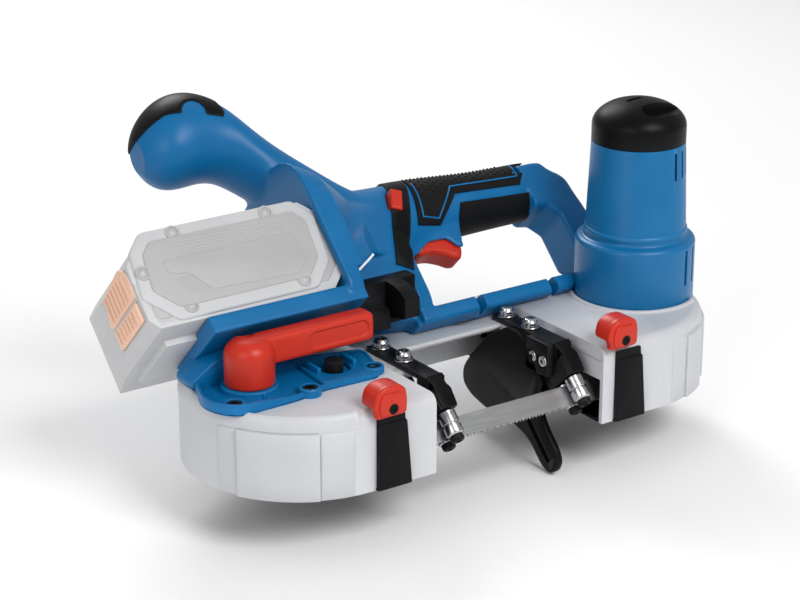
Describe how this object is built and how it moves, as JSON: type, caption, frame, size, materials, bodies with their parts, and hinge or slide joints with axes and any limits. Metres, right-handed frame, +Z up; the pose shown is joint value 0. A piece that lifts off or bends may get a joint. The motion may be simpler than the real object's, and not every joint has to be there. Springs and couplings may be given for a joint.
{
  "type": "portable band saw",
  "caption": "Cordless portable band saw: covered band wheels, twisted blade between guide rollers, upright motor, tilted loop handle, front knob arm, tension lever and slide-on battery.",
  "frame": {"origin": "centre of the bounding box in plan, at the lowest point, which is the foot of the material stop", "axes": "+X from the idler wheel to the motor wheel, +Y to the back with the handle leaning that way, +Z up along the motor and wheel axes"},
  "size_m": [0.3456, 0.2207, 0.2015],
  "materials": {
    "housing_blue": "satin moulded plastic",
    "motor_blue": "satin moulded plastic",
    "cover_grey": "pale moulded plastic",
    "black_plastic": "matt black plastic",
    "grip_rubber": "soft dotted overmould",
    "signal_red": "satin red plastic",
    "bright_steel": "bright zinc",
    "blade_steel": "ground spring steel",
    "black_steel": "black coated sheet steel",
    "cast_alloy": "blasted casting",
    "wheel_alloy": "turned casting",
    "wheel_tyre": "moulded tyre",
    "stator_iron": "varnished windings on laminations",
    "battery_grey": "pale grey plastic",
    "battery_panel": "pale grey plastic",
    "battery_orange": "pale orange plastic",
    "cell_wrap": "shrink wrap",
    "board_green": "potted board",
    "lamp_clear": "clear lens"
  },
  "bodies": {
    "saw_body": {"main_frame": "cast_alloy", "left_wheel_cover": "cover_grey", "right_wheel_cover": "cover_grey", "left_bottom_guard": "black_plastic", "right_bottom_guard": "black_plastic", "left_guide_bracket": "black_steel", "right_guide_bracket": "black_steel", "bracket_screws": "bright_steel", "roller_screws": "bright_steel", "material_stop": "black_steel", "saw_blade": "blade_steel", "idler_base": "housing_blue", "base_screws": "bright_steel", "tracking_bolt": "bright_steel", "housing_front": "housing_blue", "housing_rear": "housing_blue", "housing_screws": "bright_steel", "handle_grip": "grip_rubber", "knob_grip": "grip_rubber", "switch_collar": "black_plastic", "lever_catch": "black_plastic", "led_lens": "lamp_clear", "trigger_switch": "black_plastic", "control_board": "board_green", "battery_contact_block": "black_plastic", "gear_collar": "motor_blue", "motor_housing": "motor_blue", "motor_end_cap": "black_plastic", "motor_stator": "stator_iron", "shaft_bearings": "bright_steel"},
    "drive_wheel_set": {"drive_shaft": "bright_steel", "drive_gear": "bright_steel", "drive_wheel": "wheel_alloy", "drive_tyre": "wheel_tyre"},
    "motor_armature": {"motor_rotor": "stator_iron", "motor_pinion": "bright_steel", "cooling_fan": "black_plastic"},
    "tension_carriage": {"idler_carriage": "bright_steel", "idler_axle": "bright_steel"},
    "idler_wheel_set": {"idler_wheel": "wheel_alloy", "idler_tyre": "wheel_tyre", "idler_bearing": "bright_steel"},
    "blade_tension_lever": {"tension_lever": "signal_red", "tension_cam": "bright_steel"},
    "left_front_roller": {"left_front_roller": "bright_steel"},
    "left_rear_roller": {"left_rear_roller": "bright_steel"},
    "right_front_roller": {"right_front_roller": "bright_steel"},
    "right_rear_roller": {"right_rear_roller": "bright_steel"},
    "trigger": {"trigger": "signal_red"},
    "lock_off_button": {"lock_off_button": "signal_red"},
    "battery": {"battery_case": "battery_grey", "battery_base": "battery_grey", "battery_cells": "cell_wrap", "battery_panels": "battery_panel"},
    "battery_button": {"battery_button": "battery_orange"},
    "left_latch": {"left_latch_strap": "grip_rubber", "left_latch_tab": "signal_red"},
    "right_latch": {"right_latch_strap": "grip_rubber", "right_latch_tab": "signal_red"}
  },
  "joints": [
    {"name": "drive_wheel_spin", "type": "hinge", "parent": "saw_body", "child": "drive_wheel_set", "pos_m": [0.1073, -0.0401, 0.0486], "axis": [0, 0, 1], "continuous": true},
    {"name": "motor_spin", "type": "hinge", "parent": "saw_body", "child": "motor_armature", "pos_m": [0.13804, -0.0441, 0.1106], "axis": [0, 0, 1], "continuous": true},
    {"name": "tension_lever_turn", "type": "hinge", "parent": "saw_body", "child": "blade_tension_lever", "pos_m": [-0.1232, -0.0461, 0.0856], "axis": [0, 0, 1], "range_deg": [-160, 0]},
    {"name": "idler_carriage_slide", "type": "slide", "parent": "saw_body", "child": "tension_carriage", "axis": [1, 0, 0], "range_m": [0, 0.00341]},
    {"name": "idler_wheel_spin", "type": "hinge", "parent": "tension_carriage", "child": "idler_wheel_set", "pos_m": [-0.0877, -0.0401, 0.0486], "axis": [0, 0, 1], "continuous": true},
    {"name": "trigger_pull", "type": "hinge", "parent": "saw_body", "child": "trigger", "pos_m": [0.0218, 0.01859, 0.1105], "axis": [0, -0.7071, 0.7071], "range_deg": [0, 8], "stiffness_Nm_per_rad": 1, "springref_deg": -8.59},
    {"name": "lock_off_press", "type": "slide", "parent": "saw_body", "child": "lock_off_button", "axis": [0, 0.7071, -0.7071], "range_m": [0, 0.002], "stiffness_N_per_m": 1200, "springref_m": -0.002},
    {"name": "battery_slide", "type": "slide", "parent": "saw_body", "child": "battery", "axis": [-1, 0, 0], "range_m": [0, 0.1]},
    {"name": "battery_button_press", "type": "slide", "parent": "battery", "child": "battery_button", "axis": [1, 0, 0], "range_m": [0, 0.0025], "stiffness_N_per_m": 1200, "springref_m": -0.002},
    {"name": "left_latch_open", "type": "hinge", "parent": "saw_body", "child": "left_latch", "pos_m": [-0.0742, -0.0931, 0.0327], "axis": [1, 0, 0], "range_deg": [0, 40]},
    {"name": "right_latch_open", "type": "hinge", "parent": "saw_body", "child": "right_latch", "pos_m": [0.0838, -0.0931, 0.0327], "axis": [1, 0, 0], "range_deg": [0, 40]},
    {"name": "left_front_roller_spin", "type": "hinge", "parent": "saw_body", "child": "left_front_roller", "pos_m": [-0.0312, -0.09723, 0.05379], "axis": [0, 0.7071, 0.7071], "continuous": true},
    {"name": "left_rear_roller_spin", "type": "hinge", "parent": "saw_body", "child": "left_rear_roller", "pos_m": [-0.0312, -0.08966, 0.04622], "axis": [0, 0.7071, 0.7071], "continuous": true},
    {"name": "right_front_roller_spin", "type": "hinge", "parent": "saw_body", "child": "right_front_roller", "pos_m": [0.0548, -0.09723, 0.05379], "axis": [0, 0.7071, 0.7071], "continuous": true},
    {"name": "right_rear_roller_spin", "type": "hinge", "parent": "saw_body", "child": "right_rear_roller", "pos_m": [0.0548, -0.08966, 0.04622], "axis": [0, 0.7071, 0.7071], "continuous": true}
  ],
  "couplings": [
    {"joint": "motor_spin", "follows": "drive_wheel_spin", "ratio": -4.1667},
    {"joint": "idler_wheel_spin", "follows": "drive_wheel_spin", "ratio": 1},
    {"joint": "idler_carriage_slide", "follows": "tension_lever_turn", "m_per_rad": -0.0012175},
    {"joint": "left_front_roller_spin", "follows": "drive_wheel_spin", "ratio": -10.95},
    {"joint": "left_rear_roller_spin", "follows": "drive_wheel_spin", "ratio": 10.95},
    {"joint": "right_front_roller_spin", "follows": "drive_wheel_spin", "ratio": -10.95},
    {"joint": "right_rear_roller_spin", "follows": "drive_wheel_spin", "ratio": 10.95}
  ]
}
